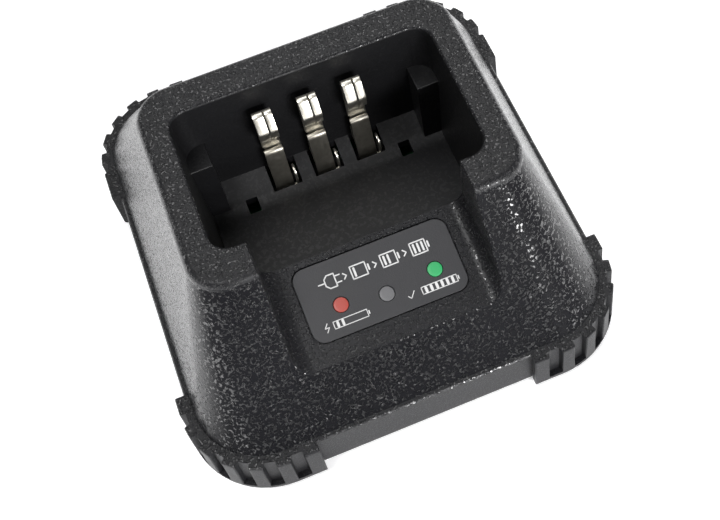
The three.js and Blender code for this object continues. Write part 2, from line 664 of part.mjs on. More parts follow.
for (const [side, x] of Object.entries(CONTACTS)) {
  addPiece(`contact_bracket_${side}`, contactBracket(x), FINISH.nickel);
  addPiece(`contact_spring_${side}`, contactSpring(x), FINISH.nickel);
}

export default cradle;
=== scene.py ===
"""Drop-in charging cradle for a portable two-way radio, in black moulded ABS."""
import math

import bpy
from mathutils import Matrix, Vector


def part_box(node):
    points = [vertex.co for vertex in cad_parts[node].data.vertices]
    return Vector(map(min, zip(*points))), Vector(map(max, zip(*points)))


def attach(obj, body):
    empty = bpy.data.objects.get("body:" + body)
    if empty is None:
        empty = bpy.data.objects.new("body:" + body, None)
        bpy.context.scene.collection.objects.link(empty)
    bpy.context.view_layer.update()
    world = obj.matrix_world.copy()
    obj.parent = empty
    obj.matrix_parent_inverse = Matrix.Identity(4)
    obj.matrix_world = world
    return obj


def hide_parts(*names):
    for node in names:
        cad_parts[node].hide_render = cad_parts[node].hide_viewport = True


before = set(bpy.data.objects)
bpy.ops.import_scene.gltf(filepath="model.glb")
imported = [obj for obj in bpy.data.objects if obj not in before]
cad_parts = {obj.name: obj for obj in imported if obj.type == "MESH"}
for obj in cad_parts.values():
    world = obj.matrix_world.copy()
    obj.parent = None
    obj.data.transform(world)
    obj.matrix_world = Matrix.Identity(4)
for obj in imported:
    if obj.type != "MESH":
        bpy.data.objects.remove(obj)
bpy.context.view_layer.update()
MM = 0.001


# ---------------------------------------------------------------- camera, light and table
# The cradle stands on white paper in an over-lit studio: the paper and the soft panels are far
# brighter than the black plastic, which shows their reflections more than its own colour.

CAMERA_BACK = Vector((-0.1173, -0.5188, 0.8468)).normalized()
CAMERA_AIM = Vector((13.53, -14.93, 20)) * MM
CAMERA_DISTANCE = 0.2718
CAMERA_ROLL = math.radians(10.26)
CAMERA_LENS = 63.66
CAMERA_SHIFT = (-0.0837, -0.0558)
MIDDLE = (0, 0, 0.02)
TABLE_SIZE = 6
PAPER_WHITE = (0.93, 0.93, 0.935, 1)
PAPER_SHADE = (0.86, 0.86, 0.87, 1)


def place_camera():
    """The camera looks down on the cradle's front, a little from the left and slightly rolled."""
    place = CAMERA_AIM + CAMERA_BACK * CAMERA_DISTANCE
    bpy.ops.object.camera_add(location=place)
    camera = bpy.context.object
    right = (-CAMERA_BACK).cross(Vector((0, 0, 1))).normalized()
    up = right.cross(-CAMERA_BACK)
    turn = Matrix((right, up, CAMERA_BACK)).transposed().to_4x4()
    roll = Matrix.Rotation(CAMERA_ROLL, 4, "Z").inverted()
    camera.matrix_world = Matrix.Translation(place) @ turn @ roll
    camera.data.sensor_width = 36
    camera.data.lens = CAMERA_LENS
    camera.data.shift_x, camera.data.shift_y = CAMERA_SHIFT
    bpy.context.scene.camera = camera


def soft_panel(name, place, width, height, power):
    """A rectangular lamp facing the cradle; its power is in watts and its sizes in metres."""
    bpy.ops.object.light_add(type="AREA", location=place)
    panel = bpy.context.object
    panel.name = name
    panel.data.shape = "RECTANGLE"
    panel.data.size = width
    panel.data.size_y = height
    panel.data.energy = power
    panel.rotation_euler = (Vector(place) - Vector(MIDDLE)).to_track_quat("Z", "Y").to_euler()


def finish_named(name):
    """A new material with its node tree's nodes, links and shader."""
    material = bpy.data.materials.new(name)
    material.use_nodes = True
    tree = material.node_tree
    return material, tree.nodes, tree.links, tree.nodes["Principled BSDF"]


place_camera()
soft_panel("front_panel", (0.2, -0.76, 0.4), 0.26, 0.1, 7)
soft_panel("low_panel", (0.33, -0.82, 0.17), 0.2, 0.12, 2)
soft_panel("overhead_panel", (-0.3, -0.1, 0.9), 0.3, 0.3, 4)
soft_panel("rear_panel", (0.14, 0.55, 0.9), 0.7, 0.7, 3.5)

# The sky is bright in a narrow band at the horizon, dark above it and a little lighter overhead.
world = bpy.data.worlds.new("white_studio")
bpy.context.scene.world = world
world.use_nodes = True
sky = world.node_tree
compass = sky.nodes.new("ShaderNodeSeparateXYZ")
horizon = sky.nodes.new("ShaderNodeValToRGB")
horizon.color_ramp.elements[0].color = (1, 1, 1, 1)
horizon.color_ramp.elements[1].color = (0.24, 0.24, 0.24, 1)
for height, grey in ((0.09, 0.08), (0.5, 0.14)):
    horizon.color_ramp.elements.new(height).color = (grey, grey, grey, 1)
sky.links.new(sky.nodes.new("ShaderNodeTexCoord").outputs["Generated"], compass.inputs["Vector"])
sky.links.new(compass.outputs["Z"], horizon.inputs["Fac"])
sky.links.new(horizon.outputs["Color"], sky.nodes["Background"].inputs["Color"])
bpy.context.scene.view_settings.view_transform = "Standard"

# The paper glows more at both sides of the cradle than before and behind it.
bpy.ops.mesh.primitive_plane_add(size=TABLE_SIZE)
table = bpy.context.object
table.name = "table_top"
paper, nodes, links, shader = finish_named("pale_paper")
fibres = nodes.new("ShaderNodeTexNoise")
fibres.inputs["Scale"].default_value = 90
tone = nodes.new("ShaderNodeMix")
tone.data_type = "RGBA"
tone.inputs["A"].default_value = PAPER_SHADE
tone.inputs["B"].default_value = PAPER_WHITE
links.new(nodes.new("ShaderNodeTexCoord").outputs["Object"], fibres.inputs["Vector"])
links.new(fibres.outputs["Fac"], tone.inputs["Factor"])
links.new(tone.outputs["Result"], shader.inputs["Base Color"])
shader.inputs["Roughness"].default_value = 0.8
shader.inputs["Emission Color"].default_value = PAPER_WHITE
spread = nodes.new("ShaderNodeSeparateXYZ")
aside = nodes.new("ShaderNodeMath")
aside.operation = "ABSOLUTE"
glow = nodes.new("ShaderNodeMapRange")
glow.inputs["From Min"].default_value = 0.04
glow.inputs["From Max"].default_value = 0.13
glow.inputs["To Min"].default_value = 0.35
glow.inputs["To Max"].default_value = 2.3
links.new(nodes.new("ShaderNodeTexCoord").outputs["Object"], spread.inputs["Vector"])
links.new(spread.outputs["X"], aside.inputs[0])
links.new(aside.outputs["Value"], glow.inputs["Value"])
links.new(glow.outputs["Result"], shader.inputs["Emission Strength"])
table.data.materials.append(paper)


# ---------------------------------------------------------------- upper housing
# One injection moulding in black ABS. The tool is spark-eroded: coarse grain on the slopes,
# a finer one on the rim and the label shelf, satin on the base band and a smooth pocket.
# Lugs with open-topped recesses wrap round the four corners of the base as bumpers.

housing_low, housing_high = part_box("upper_housing")
LUG_PROUD = 2
LUG_BOTTOM = 0.7
BASE_X = housing_high[0] / MM - LUG_PROUD
BASE_Y = housing_high[1] / MM - LUG_PROUD
RIM_HEIGHT = housing_high[2] / MM
BASE_RADIUS = 16
SEAM = 2.4
LEDGE_HEIGHT = 11.6
LEDGE = 1
RIM_X = 35.2
RIM_FRONT = -28.3
RIM_BACK = 24
RIM_RADIUS = 8.2
RIM_ROUND = (1.8, 2)
WALL = 2.4
ROOF = 1.6
FLOOR_WALL = 2
MOUTH_ROUND = 0.7
POCKET_X = 28.8
POCKET_FRONT = -20
POCKET_BACK = 15.5
POCKET_RADIUS = 4.2
POCKET_FLOOR = 14
POCKET_DRAFT = 0.0437
RAMP_START = 8
RAMP_RISE = 0.613
COLUMN_INNER = 23.3
COLUMN_FRONT = 8.6
COLUMN_TOP = 32.3
SHELF_TILT = math.radians(16)
SHELF_Y = -39
SHELF_Z = 23.7
SHELF_X = 22.2
SHELF_RADIUS = 3.4
SHELF_REACH = 10
LUG_FRONT_END = 23.6
LUG_SIDE_FRONT = -29
LUG_SIDE_BACK = 25.5
LUG_CORNER_REACH = 88
RECESS_COUNT = 6
RECESS_FIRST = 4.7
RECESS_PITCH = 5.9
RECESS_WIDTH = 2.5
RECESS_MOUTH = 3.5
RECESS_DEPTH = 1.35
RECESS_FLOOR = 2.3
LATCH_X = 18.3
LATCH_HALF = 1.35
POST_RADIUS = 3.3
POST_BOTTOM = 4.8
POST_HOLE = 1.5
POST_HOLE_TOP = 15
LABEL_Y = -28.9
LABEL_RECESS = (17, -8.3, 8.3, 2.9)
LABEL_RECESS_DEPTH = 0.6
WINDOW_HOLE = 1.85
INLET_HEIGHT = 6.9
INLET_HOLE = 3.9
HOUSING_SCREWS = ((-37.6, -22), (37.6, -22), (-37.6, 22), (37.6, 22))
CONTACT_PLACES = {"left": -10, "centre": 0, "right": 10}
WINDOW_PLACES = {"red": (-9.2, -30.6), "centre": (0.2, -31.9), "green": (11.1, -30.8)}
FAR = 100
LEVEL = 0.02
EDGE_ROUND = 0.3
SMOOTH_BELOW = math.radians(31)
FOOT_OF_RAMP_ROUND = 2.4
BASE_PLAN = (BASE_X, -BASE_Y, BASE_Y, BASE_RADIUS)
RIM_PLAN = (RIM_X, RIM_FRONT, RIM_BACK, RIM_RADIUS)
POCKET_PLAN = (POCKET_X, POCKET_FRONT, POCKET_BACK, POCKET_RADIUS)


def only(piece):
    """Makes one piece the selected and active one."""
    bpy.ops.object.select_all(action="DESELECT")
    piece.select_set(True)
    bpy.context.view_layer.objects.active = piece


def edit(piece):
    only(piece)
    bpy.ops.object.mode_set(mode="EDIT")
    bpy.ops.mesh.select_all(action="SELECT")


def done():
    bpy.ops.object.mode_set(mode="OBJECT")


def settle():
    bpy.ops.object.transform_apply(location=True, rotation=True, scale=True)
    return bpy.context.object


def smooth(piece):
    only(piece)
    bpy.ops.object.shade_smooth_by_angle(angle=SMOOTH_BELOW)


def apply_modifier(piece, kind, **settings):
    only(piece)
    modifier = piece.modifiers.new(kind.lower(), kind)
    for key, value in settings.items():
        setattr(modifier, key, value)
    bpy.ops.object.modifier_apply(modifier=modifier.name)


def combine(piece, tool, operation):
    apply_modifier(piece, "BOOLEAN", operation=operation, object=tool, solver="EXACT")
    bpy.data.objects.remove(tool)
    return piece


def join(pieces):
    only(pieces[0])
    for piece in pieces:
        piece.select_set(True)
    bpy.ops.object.join()
    return pieces[0]


def block(low, high):
    """A box between two corners, in millimetres."""
    low, high = Vector(low), Vector(high)
    bpy.ops.object.select_all(action="DESELECT")
    bpy.ops.mesh.primitive_cube_add(size=1, location=(low + high) / 2 * MM)
    bpy.context.object.scale = (high - low) * MM
    return settle()


def barrel(start, end, radius, sides=40):
    """A round bar between two points, in millimetres."""
    start, end = Vector(start), Vector(end)
    along = end - start
    bpy.ops.object.select_all(action="DESELECT")
    bpy.ops.mesh.primitive_cylinder_add(
        vertices=sides, radius=radius * MM, depth=along.length * MM,
        location=(start + end) / 2 * MM, rotation=along.to_track_quat("Z", "Y").to_euler())
    return settle()


def ring(half_x, front, back, radius, height, steps):
    """A flat rounded rectangle at one height, in millimetres."""
    bpy.ops.object.select_all(action="DESELECT")
    bpy.ops.mesh.primitive_plane_add(size=2, location=(0, (front + back) / 2 * MM, height * MM))
    bpy.context.object.scale = (half_x * MM, (back - front) / 2 * MM, 1)
    piece = settle()
    edit(piece)
    bpy.ops.mesh.bevel(offset=radius * MM, segments=steps, affect="VERTICES")
    done()
    return piece


def stack(rings, steps=14):
    """A closed block whose plan changes from ring to ring on its way up."""
    piece = ring(*rings[0], steps)
    for i, plan in enumerate(rings[1:], 1):
        above = ring(*plan, steps)
        if i < len(rings) - 1:
            edit(above)
            bpy.ops.mesh.delete(type="ONLY_FACE")
            done()
        join([piece, above])
        edit(piece)
        bpy.ops.mesh.select_all(action="DESELECT")
        bpy.ops.mesh.select_mode(type="EDGE")
        bpy.ops.mesh.select_non_manifold(
            extend=False, use_wire=True, use_boundary=True, use_multi_face=False,
            use_non_contiguous=False, use_verts=False)
        bpy.ops.mesh.bridge_edge_loops()
        done()
    edit(piece)
    bpy.ops.mesh.normals_make_consistent(inside=False)
    done()
    return piece


def inset(plan, by, height):
    """A ring of a stack: the plan drawn in by a distance, at a height."""
    half_x, front, back, radius = plan
    return (half_x - by, front + by, back - by, radius - by, height)


def grown(plan, by):
    return inset(plan, -by, 0)[:4]


def sloping_block():
    """The band, its flat ledge, the sloping walls and the rounded rim."""
    rings = [inset(BASE_PLAN, 0.3, SEAM), inset(BASE_PLAN, 0, SEAM + 0.3),
             inset(BASE_PLAN, 0, LEDGE_HEIGHT - 0.3), inset(BASE_PLAN, 0.3, LEDGE_HEIGHT),
             inset(BASE_PLAN, LEDGE, LEDGE_HEIGHT + LEVEL)]
    inward, upward = RIM_ROUND
    for i in range(9):
        angle = i / 8 * math.pi / 2
        rings.append(inset(RIM_PLAN, inward * (1 - math.cos(angle)),
                           RIM_HEIGHT - upward + upward * math.sin(angle)))
    return stack(rings)


def pocket_block(grow):
    """The space of the pocket, or the block that its walls and floor fill when grown."""
    plan = grown(POCKET_PLAN, grow)
    rings = [inset(plan, RIM_HEIGHT * POCKET_DRAFT, 0)]
    if grow:
        rings.append(inset(plan, -POCKET_DRAFT * 10, RIM_HEIGHT + 10))
    else:
        for i in range(7):
            angle = i / 6 * math.pi / 2
            rings.append(inset(plan, MOUTH_ROUND * (POCKET_DRAFT + math.cos(angle) - 1),
                               RIM_HEIGHT - MOUTH_ROUND * (1 - math.sin(angle))))
        rings.append(inset(plan, -2 * MOUTH_ROUND, RIM_HEIGHT + 5))
    space = stack(rings, steps=8)
    floor = block((-FAR, -FAR, -FAR), (FAR, FAR, POCKET_FLOOR - grow))
    edit(floor)
    bpy.ops.mesh.bisect(plane_co=(0, RAMP_START * MM, 0), plane_no=(0, 1, 0))
    bpy.ops.mesh.select_all(action="DESELECT")
    done()
    for corner in floor.data.vertices:
        corner.select = corner.co.y > 0.9 * FAR * MM and corner.co.z > 0
    bpy.ops.object.mode_set(mode="EDIT")
    bpy.ops.mesh.select_mode(type="EDGE")
    bpy.ops.transform.translate(value=(0, 0, (FAR - RAMP_START) * RAMP_RISE * MM))
    done()
    for edge in floor.data.edges:
        ends = [floor.data.vertices[i].co for i in edge.vertices]
        edge.select = all(abs(end.y / MM - RAMP_START) < 0.01 and end.z > 0 for end in ends)
    bpy.ops.object.mode_set(mode="EDIT")
    bpy.ops.mesh.bevel(offset=FOOT_OF_RAMP_ROUND * MM, segments=5)
    done()
    return combine(space, floor, "DIFFERENCE")


def facing(piece):
    """The two faces at each edge of a closed piece."""
    beside = {}
    for face in piece.data.polygons:
        for key in face.edge_keys:
            beside.setdefault(key, []).append(face)
    return beside


def round_edges(piece, chosen, width, segments=3):
    """Rounds the outward sharp edges whose two ends, in millimetres, pass the test given."""
    beside = facing(piece)
    corners = piece.data.vertices
    for face in piece.data.polygons:
        face.select = False
    for corner in corners:
        corner.select = False
    for edge in piece.data.edges:
        one, other = beside[edge.key]
        outward = (other.center - one.center).dot(one.normal) < 0
        sharp = outward and one.normal.angle(other.normal, 0) > math.radians(38)
        ends = [corners[i].co / MM for i in edge.vertices]
        edge.select = sharp and chosen(*ends)
    only(piece)
    bpy.ops.object.mode_set(mode="EDIT")
    bpy.ops.mesh.select_mode(type="EDGE")
    bpy.ops.mesh.bevel(offset=width * MM, segments=segments, clamp_overlap=False)
    done()


def shelf_height(y):
    return SHELF_Z + (y - SHELF_Y) * math.tan(SHELF_TILT)


def onto_shelf(piece, y):
    """Tilts a piece modelled flat at the origin onto the label shelf at that depth."""
    edit(piece)
    bpy.ops.transform.rotate(value=-SHELF_TILT, orient_axis="X", center_override=(0, 0, 0))
    bpy.ops.transform.translate(value=(0, y * MM, shelf_height(y) * MM))
    done()
    return piece


def shelf_block(grow):
    """The open front of the pocket above the label shelf, its lower edges rounded."""
    half = SHELF_X + grow
    piece = block((-half, -2 * BASE_Y, -grow), (half, 0, FAR))
    for edge in piece.data.edges:
        ends = [piece.data.vertices[i].co for i in edge.vertices]
        edge.select = all(end.z < 1e-4 for end in ends) and abs(ends[0].x - ends[1].x) < 1e-6
    for face in piece.data.polygons:
        face.select = False
    only(piece)
    bpy.ops.object.mode_set(mode="EDIT")
    bpy.ops.mesh.select_mode(type="EDGE")
    bpy.ops.mesh.bevel(offset=(SHELF_RADIUS + grow) * MM, segments=10)
    done()
    return onto_shelf(piece, POCKET_FRONT + SHELF_REACH)


def lug_stations():
    """Places and directions of the recesses along the four corner bumpers."""
    radius = BASE_RADIUS + LUG_PROUD
    corner_x, corner_y = BASE_X - BASE_RADIUS, BASE_Y - BASE_RADIUS
    straight, arc = corner_x - LUG_FRONT_END, radius * math.pi / 2
    for i in range(RECESS_COUNT):
        along = RECESS_FIRST + i * RECESS_PITCH - straight
        angle = min(max(along, 0), arc) / radius
        x = corner_x + min(along, 0) + radius * math.sin(angle)
        y = corner_y - max(along - arc, 0) + radius * math.cos(angle)
        yield x, y, angle


def recess_blocks():
    """The cutters of all the recesses, each wider at its mouth than at its back."""
    first = block((-RECESS_WIDTH / 2, -RECESS_DEPTH, RECESS_FLOOR), (RECESS_WIDTH / 2, 1, FAR))
    for corner in first.data.vertices:
        if corner.co.y > 0:
            corner.co.x *= RECESS_MOUTH / RECESS_WIDTH
    cutters = []
    for x, y, angle in lug_stations():
        for side_x, side_y in ((1, 1), (-1, 1), (1, -1), (-1, -1)):
            only(first)
            bpy.ops.object.duplicate()
            cutter = bpy.context.object
            heading = math.atan2(side_x * math.sin(angle), side_y * math.cos(angle))
            cutter.location = (side_x * x * MM, side_y * y * MM, 0)
            cutter.rotation_euler = (0, 0, -heading)
            cutters.append(settle())
    bpy.data.objects.remove(first)
    return join(cutters)


def upright_outside(start, end):
    """Upright edges on the outside of the bumpers."""
    along = end - start
    past_side = abs(start.x) > BASE_X + 0.3 or abs(start.y) > BASE_Y + 0.3
    past_corner = abs(start.x) + abs(start.y) > LUG_CORNER_REACH
    upright = abs(along.z) > 3 and Vector((along.x, along.y)).length < 0.01
    return upright and (past_side or past_corner)


def lugs():
    """The four corner bumpers, cut from one skirt round the band."""
    plan = grown(BASE_PLAN, LUG_PROUD)
    skirt = stack([inset(plan, 0.5, LUG_BOTTOM), inset(plan, 0.1, LUG_BOTTOM + 0.4),
                   inset(plan, 0, LUG_BOTTOM + 0.9), inset(plan, 0, LEDGE_HEIGHT - 0.5),
                   inset(plan, 0.15, LEDGE_HEIGHT - 0.15), inset(plan, 0.5, LEDGE_HEIGHT)])
    combine(skirt, stack([inset(BASE_PLAN, 0, -5), inset(BASE_PLAN, 0, SEAM + 0.3)]), "DIFFERENCE")
    combine(skirt, block((-LUG_FRONT_END, -FAR, -5), (LUG_FRONT_END, FAR, FAR)), "DIFFERENCE")
    combine(skirt, block((-FAR, LUG_SIDE_FRONT, -5), (FAR, LUG_SIDE_BACK, FAR)), "DIFFERENCE")
    combine(skirt, recess_blocks(), "DIFFERENCE")
    round_edges(skirt, upright_outside, 0.35)
    return skirt


def inside_space():
    """The hollow under the roof, which leaves the pocket's walls, the shelf and the screw posts."""
    space = stack([inset(BASE_PLAN, WALL, -1), inset(BASE_PLAN, WALL, LEDGE_HEIGHT - ROOF),
                   inset(BASE_PLAN, LEDGE + WALL, LEDGE_HEIGHT - ROOF + LEVEL),
                   inset(RIM_PLAN, WALL, RIM_HEIGHT - 2 - WALL)])
    combine(space, pocket_block(FLOOR_WALL), "DIFFERENCE")
    combine(space, shelf_block(FLOOR_WALL), "DIFFERENCE")
    for x, y in HOUSING_SCREWS:
        combine(space, barrel((x, y, POST_BOTTOM), (x, y, 34), POST_RADIUS), "DIFFERENCE")
    return space


def pocket_space():
    """The pocket without its two guide columns."""
    space = pocket_block(0)
    for side in (-1, 1):
        corners = sorted((side * COLUMN_INNER, side * FAR))
        column = block((corners[0], COLUMN_FRONT, 0), (corners[1], FAR, COLUMN_TOP))
        combine(space, column, "DIFFERENCE")
    return space


def label_space():
    space = stack([(*LABEL_RECESS, -LABEL_RECESS_DEPTH), (*LABEL_RECESS, 2)], steps=8)
    return onto_shelf(space, LABEL_Y)


def window_bore(x, y, radius):
    return onto_shelf(barrel((x, 0, -5), (x, 0, 2), radius), y)


housing = sloping_block()
combine(housing, lugs(), "UNION")
combine(housing, inside_space(), "DIFFERENCE")
combine(housing, pocket_space(), "DIFFERENCE")
combine(housing, shelf_block(0), "DIFFERENCE")
combine(housing, label_space(), "DIFFERENCE")
for x, y in WINDOW_PLACES.values():
    combine(housing, window_bore(x, y, WINDOW_HOLE), "DIFFERENCE")
for x in CONTACT_PLACES.values():
    combine(housing, block((x - 2.9, 8.9, 10.5), (x + 3.9, 14.3, 22)), "DIFFERENCE")
for side in (-1, 1):
    x = side * LATCH_X
    combine(housing, block((x - LATCH_HALF, 6, 8), (x + LATCH_HALF, 9.4, 20)), "DIFFERENCE")
for x, y in HOUSING_SCREWS:
    combine(housing, barrel((x, y, 0), (x, y, POST_HOLE_TOP), POST_HOLE, 20), "DIFFERENCE")
combine(housing, barrel((0, 45, INLET_HEIGHT), (0, 60, INLET_HEIGHT), INLET_HOLE), "DIFFERENCE")
edit(housing)
bpy.ops.mesh.remove_doubles(threshold=0.004 * MM)
bpy.ops.mesh.dissolve_limited(angle_limit=math.radians(0.6))
done()


def on_notch_or_shelf(start, end):
    """Edges of the pocket's mouth, the front opening, the shelf and the guide columns' tops."""
    at_mouth = all(p.z > RIM_HEIGHT - 0.05 and abs(p.x) < POCKET_X + 0.3
                   and POCKET_FRONT - 0.3 < p.y < POCKET_BACK + 0.3 for p in (start, end))
    at_side = all(abs(abs(p.x) - SHELF_X) < 0.05 and p.z > shelf_height(p.y) + 2 for p in (start, end))
    on_shelf = all(abs(p.z - shelf_height(p.y)) < 0.05 + (abs(p.x) > SHELF_X - SHELF_RADIUS) * 4
                   and abs(p.x) < SHELF_X + 0.05 and not -37.5 < p.y < -20 for p in (start, end))
    on_column = all(abs(p.z - COLUMN_TOP) < 0.05 and p.y > 0 for p in (start, end))
    return at_mouth or at_side or on_shelf or on_column


round_edges(housing, on_notch_or_shelf, EDGE_ROUND)
smooth(housing)
apply_modifier(housing, "WEIGHTED_NORMAL", mode="FACE_AREA", weight=60, keep_sharp=True)
housing.name = "housing_shell"


# Colour, shine and relief of moulded plastic: a pebbled grain of the size asked for, over a
# slow drift in tone, with the tops of the pebbles polished by handling.
def build_moulded_grain():
    group = bpy.data.node_groups.new("moulded_grain", "ShaderNodeTree")
    face = group.interface
    for name, kind in (("Grain per metre", "NodeSocketFloat"), ("Dark", "NodeSocketColor"),
                       ("Light", "NodeSocketColor"), ("Rough Valley", "NodeSocketFloat"),
                       ("Rough Top", "NodeSocketFloat")):
        face.new_socket(name, in_out="INPUT", socket_type=kind)
    for name, kind in (("Color", "NodeSocketColor"), ("Roughness", "NodeSocketFloat"),
                       ("Height", "NodeSocketFloat")):
        face.new_socket(name, in_out="OUTPUT", socket_type=kind)
    make, link = group.nodes.new, group.links.new
    given, result = make("NodeGroupInput"), make("NodeGroupOutput")
    where = make("ShaderNodeTexCoord").outputs["Object"]
    pebble, drift = make("ShaderNodeTexNoise"), make("ShaderNodeTexNoise")
    pebble.inputs["Detail"].default_value = 1.6
    pebble.inputs["Roughness"].default_value = 0.55
    pebble.inputs["Distortion"].default_value = 0.6
    drift.inputs["Scale"].default_value = 45
    drift.inputs["Detail"].default_value = 3
    link(where, pebble.inputs["Vector"])
    link(where, drift.inputs["Vector"])
    link(given.outputs["Grain per metre"], pebble.inputs["Scale"])
    top = make("ShaderNodeMapRange")
    top.interpolation_type = "SMOOTHSTEP"
    top.inputs["From Min"].default_value = 0.5
    top.inputs["From Max"].default_value = 0.62
    link(pebble.outputs["Fac"], top.inputs["Value"])
    blend_tone = make("ShaderNodeMix")
    blend_tone.data_type = "RGBA"
    link(drift.outputs["Fac"], blend_tone.inputs["Factor"])
    link(given.outputs["Dark"], blend_tone.inputs["A"])
    link(given.outputs["Light"], blend_tone.inputs["B"])
    shine = make("ShaderNodeMapRange")
    link(top.outputs["Result"], shine.inputs["Value"])
    link(given.outputs["Rough Valley"], shine.inputs["To Min"])
    link(given.outputs["Rough Top"], shine.inputs["To Max"])
    link(blend_tone.outputs["Result"], result.inputs["Color"])
    link(shine.outputs["Result"], result.inputs["Roughness"])
    link(top.outputs["Result"], result.inputs["Height"])
    return group


moulded_grain = build_moulded_grain()


def moulded(name, per_metre, dark, light, rough, relief, valley_shade_gloss=(0.5, 0.5)):
    """Moulded plastic: grain per metre, two tones, (valley, top) roughness, relief, (valley, top)
    gloss; a valley gloss lower than the top's is painted shade in the grain's hollows. Seen edge-on
    the valleys hide behind the tops, so only the tops' gloss is left."""
    material, nodes, links, shader = finish_named(name)
    grain = nodes.new("ShaderNodeGroup")
    grain.node_tree = moulded_grain
    grain.inputs["Grain per metre"].default_value = per_metre
    grain.inputs["Dark"].default_value = (*dark, 1)
    grain.inputs["Light"].default_value = (*light, 1)
    grain.inputs["Rough Valley"].default_value = rough[0]
    grain.inputs["Rough Top"].default_value = rough[1]
    bump = nodes.new("ShaderNodeBump")
    bump.inputs["Distance"].default_value = relief * MM
    # Painted shade: the specular level is lowered in the grain's valleys, and raised back to the tops'
    # value where the surface is seen edge-on.
    gloss = nodes.new("ShaderNodeMapRange")
    gloss.inputs["To Min"].default_value = valley_shade_gloss[0]
    gloss.inputs["To Max"].default_value = valley_shade_gloss[1]
    hidden = nodes.new("ShaderNodeMapRange")
    hidden.inputs["From Min"].default_value = 0.3
    hidden.inputs["From Max"].default_value = 0.75
    seen = nodes.new("ShaderNodeMath")
    seen.operation = "MAXIMUM"
    links.new(nodes.new("ShaderNodeLayerWeight").outputs["Facing"], hidden.inputs["Value"])
    links.new(hidden.outputs["Result"], seen.inputs[0])
    links.new(grain.outputs["Height"], seen.inputs[1])
    links.new(seen.outputs["Value"], gloss.inputs["Value"])
    links.new(gloss.outputs["Result"], shader.inputs["Specular IOR Level"])
    links.new(grain.outputs["Color"], shader.inputs["Base Color"])
    links.new(grain.outputs["Roughness"], shader.inputs["Roughness"])
    links.new(grain.outputs["Height"], bump.inputs["Height"])
    links.new(bump.outputs["Normal"], shader.inputs["Normal"])
    return material


ABS_DARK = (0.006, 0.006, 0.007)
ABS_LIGHT = (0.011, 0.011, 0.013)
# The pocket is the same black ABS as the rest; its darker colour and lower gloss are painted shade
# inside the deep pocket.
POCKET_PAINTED_SHADE = (0.003, 0.003, 0.0035)
# The last pair of each finish is its (valley, top) gloss; the low valley values are painted shade in
# the grain's hollows.
HOUSING_FINISHES = (
    moulded("slope_coarse_grain", 1600, ABS_DARK, ABS_LIGHT, (0.3, 0.14), 0.3, (0.04, 0.75)),
    moulded("rim_fine_grain", 1900, ABS_DARK, ABS_LIGHT, (0.4, 0.22), 0.22, (0.3, 0.75)),
    moulded("pocket_smooth_painted_shade", 1200, POCKET_PAINTED_SHADE, ABS_DARK, (0.5, 0.44), 0.01, (0.3, 0.38)),
    moulded("band_satin", 3000, ABS_DARK, ABS_LIGHT, (0.5, 0.4), 0.012, (0.15, 0.45)),
)
SLOPE, RIM, POCKET, BAND = range(4)
for finish in HOUSING_FINISHES:
    housing.data.materials.append(finish)


def face_finish(centre, normal):
    """Which of the tool's textures a face of the housing carries."""
    x, y, z = centre / MM
    above_shelf = abs(x) < SHELF_X + 1 and y < POCKET_FRONT + 0.4 and z > shelf_height(y) - 0.8
    in_pocket = abs(x) < POCKET_X + 0.1 and POCKET_FRONT - 0.1 < y < POCKET_BACK + 0.1
    if above_shelf and normal.y > -0.5:
        return RIM
    if in_pocket and z < RIM_HEIGHT - 0.3:
        return POCKET
    if z > RIM_HEIGHT - 1.2:
        return RIM
    if z > LEDGE_HEIGHT + 0.4:
        return SLOPE
    if z > LEDGE_HEIGHT - 0.2:
        return RIM
    return BAND


for face in housing.data.polygons:
    face.material_index = face_finish(face.center, face.normal)

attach(housing, "cradle")
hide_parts("upper_housing")


# ---------------------------------------------------------------- base plate
# A flat ABS moulding that closes the underside, set just inside the housing's lower edge. It
# has sunk wells for the four long screws, hollow posts for the circuit board and foot seats.

PLATE_BOTTOM = 0.5
PLATE_TOP = 2.1
PLATE_GAP = 0.3
BOARD_SCREWS = ((-28, -38), (28, -38), (-28, 38), (28, 38))
FOOT_PLACES = ((-34, -39), (34, -39), (-34, 39), (34, 39))
FOOT_RADIUS = 5
FOOT_TOP = 1
FOOT_SEAT = 1.3
BOSS_RADIUS = 3.9
BOSS_TOP = 4.5
WELL_RADIUS = 3.2
WELL_TOP = 2.7
SHANK_HOLE = 1.9
STANDOFF_RADIUS = 2.8
STANDOFF_TOP = 5.7
STANDOFF_HOLE = 1.25
CORNERS = ("front_left", "front_right", "rear_left", "rear_right")

plate = stack([inset(BASE_PLAN, PLATE_GAP + 0.4, PLATE_BOTTOM),
               inset(BASE_PLAN, PLATE_GAP, PLATE_BOTTOM + 0.4),
               inset(BASE_PLAN, PLATE_GAP, PLATE_TOP)])
plate.name = "bottom_plate"
for x, y in HOUSING_SCREWS:
    combine(plate, barrel((x, y, 1), (x, y, BOSS_TOP), BOSS_RADIUS), "UNION")
    combine(plate, barrel((x, y, 0), (x, y, WELL_TOP), WELL_RADIUS), "DIFFERENCE")
    combine(plate, barrel((x, y, 0), (x, y, 9), SHANK_HOLE), "DIFFERENCE")
for x, y in BOARD_SCREWS:
    combine(plate, barrel((x, y, 1), (x, y, STANDOFF_TOP), STANDOFF_RADIUS), "UNION")
    combine(plate, barrel((x, y, 1.4), (x, y, 9), STANDOFF_HOLE), "DIFFERENCE")
for x, y in FOOT_PLACES:
    combine(plate, barrel((x, y, 0), (x, y, FOOT_SEAT), FOOT_RADIUS + 0.3), "DIFFERENCE")
combine(plate, block((-4.9, 35, 2.05), (4.9, 60, 9)), "DIFFERENCE")
smooth(plate)
plate.data.materials.append(moulded("plate_satin", 2400, (0.009, 0.009, 0.01),
                                    (0.015, 0.015, 0.017), (0.55, 0.45), 0.02))
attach(plate, "cradle")
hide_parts("base_plate")


# ---------------------------------------------------------------- rubber feet
# Four soft black discs stuck in the seats of the base plate, with a rounded rim and a shallow
# hollow in the middle of the sole, which has picked up a little dust.

